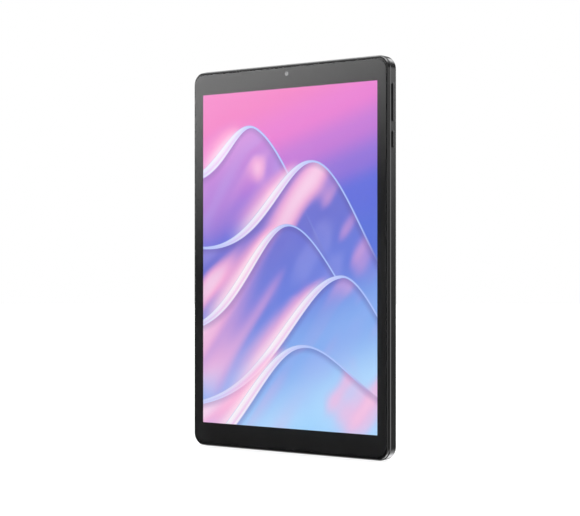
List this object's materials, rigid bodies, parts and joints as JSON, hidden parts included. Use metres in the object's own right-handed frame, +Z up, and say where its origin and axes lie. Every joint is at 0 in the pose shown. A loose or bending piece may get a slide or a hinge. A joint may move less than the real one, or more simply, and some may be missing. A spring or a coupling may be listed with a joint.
{
  "type": "tablet computer",
  "caption": "Slim portrait tablet with a large glass screen, dark metal housing, side keys, card tray, speakers and cameras, complete with its internal parts.",
  "frame": {"origin": "middle of the flat back, where a hand, stand or bracket holds the tablet", "axes": "+Z up the long side towards the headphone jack, +X towards the side keys, +Y out of the back; the screen faces -Y"},
  "size_m": [0.1525, 0.0104, 0.2484],
  "materials": {
    "cover_glass": "polished, clear",
    "border_ink": "opaque black print",
    "clear_film": "clear adhesive film",
    "tape": "black foam tape",
    "screen": "lit display showing a plain abstract picture",
    "white_film": "milky diffuser sheets",
    "clear_acrylic": "clear moulded sheet",
    "led_bar": "printed strip with small lamps",
    "silver_film": "mirror film",
    "tray_steel": "pressed sheet",
    "flex": "amber flexible circuit",
    "frame_plastic": "dark grey moulding with a satin rim",
    "housing_metal": "dark grey, bead blasted and anodised",
    "antenna_plastic": "dark grey, fine texture",
    "key_metal": "dark grey, anodised",
    "steel": "pressed steel",
    "connector_steel": "plated shell",
    "black_plastic": "moulded",
    "jack_plastic": "moulded",
    "tray_metal": "dark grey, anodised",
    "card_plastic": "moulded, gold contacts",
    "diaphragm_film": "pressed film with a copper coil",
    "magnet": "plated magnet",
    "mesh": "fine black woven mesh",
    "lens_black": "black lens barrel",
    "lens_glass": "coated lens",
    "sensor": "dark window",
    "camera_ring": "turned ring, dark grey",
    "camera_glass": "clear cover with a black border",
    "board": "dark solder mask",
    "shield": "tinned cans",
    "chip": "moulded packages",
    "graphite": "graphite sheet",
    "screw_steel": "zinc plated",
    "antenna_foil": "gold flash on film",
    "cable_black": "coaxial jacket",
    "battery_foil": "foil pouch with black wrap",
    "wire": "insulated wires"
  },
  "bodies": {
    "tablet": {"cover_glass": "cover_glass", "glass_border_mask": "border_ink", "bonding_film": "clear_film", "display_tape": "tape", "lcd_panel": "screen", "backlight_films": "white_film", "light_guide": "clear_acrylic", "led_light_bar": "led_bar", "reflector_sheet": "silver_film", "backlight_tray": "tray_steel", "display_flex": "flex", "front_frame": "frame_plastic", "rear_housing": "housing_metal", "antenna_cover": "antenna_plastic", "side_key_switches": "steel", "side_key_flex": "flex", "side_key_bracket": "steel", "usb_c_shell": "connector_steel", "usb_c_tongue": "black_plastic", "headphone_jack": "jack_plastic", "card_reader": "steel", "speaker_box_left": "black_plastic", "speaker_box_right": "black_plastic", "speaker_magnet_left": "magnet", "speaker_magnet_right": "magnet", "speaker_meshes": "mesh", "battery_cell_left": "battery_foil", "battery_cell_right": "battery_foil", "front_camera_module": "lens_black", "front_camera_lens": "lens_glass", "light_sensor": "sensor", "rear_camera_ring": "camera_ring", "rear_camera_glass": "camera_glass", "rear_camera_module": "lens_black", "microphones": "steel", "main_board": "board", "shield_cans": "shield", "board_chips": "chip", "heat_spreader": "graphite", "board_connectors": "black_plastic", "sub_board": "board", "board_screws": "screw_steel", "speaker_screws": "screw_steel", "board_link_flex": "flex", "antennas": "antenna_foil", "antenna_cable": "cable_black", "battery_tape": "tape", "battery_protection_board": "board", "battery_cable": "wire"},
    "volume_rocker": {"volume_rocker": "key_metal"},
    "power_button": {"power_button": "key_metal"},
    "power_plunger": {"power_switch_plunger": "black_plastic"},
    "card_tray": {"card_tray": "tray_metal", "memory_card": "card_plastic"},
    "speaker_cone_left": {"speaker_diaphragm_left": "diaphragm_film"},
    "speaker_cone_right": {"speaker_diaphragm_right": "diaphragm_film"},
    "focus_barrel": {"rear_camera_barrel": "lens_black", "rear_camera_lens": "lens_glass"}
  },
  "joints": [
    {"name": "volume_rock", "type": "hinge", "parent": "tablet", "child": "volume_rocker", "pos_m": [0.07355, -0.00466, 0.09515], "axis": [0, -1, 0], "range_deg": [-1.15, 1.15], "stiffness_Nm_per_rad": 1},
    {"name": "power_press", "type": "slide", "parent": "tablet", "child": "power_button", "axis": [-1, 0, 0], "range_m": [0, 0.0003], "stiffness_N_per_m": 5000},
    {"name": "power_plunger_press", "type": "slide", "parent": "tablet", "child": "power_plunger", "axis": [-1, 0, 0], "range_m": [0, 0.0003]},
    {"name": "card_tray_slide", "type": "slide", "parent": "tablet", "child": "card_tray", "axis": [-1, 0, 0], "range_m": [0, 0.016]},
    {"name": "left_cone_move", "type": "slide", "parent": "tablet", "child": "speaker_cone_left", "axis": [0, -1, 0], "range_m": [-0.00025, 0.00025], "stiffness_N_per_m": 800},
    {"name": "right_cone_move", "type": "slide", "parent": "tablet", "child": "speaker_cone_right", "axis": [0, -1, 0], "range_m": [-0.00025, 0.00025], "stiffness_N_per_m": 800},
    {"name": "focus_move", "type": "slide", "parent": "tablet", "child": "focus_barrel", "axis": [0, 1, 0], "range_m": [0, 0.00025], "stiffness_N_per_m": 60}
  ],
  "couplings": [
    {"joint": "power_plunger_press", "follows": "power_press", "ratio": 1}
  ]
}
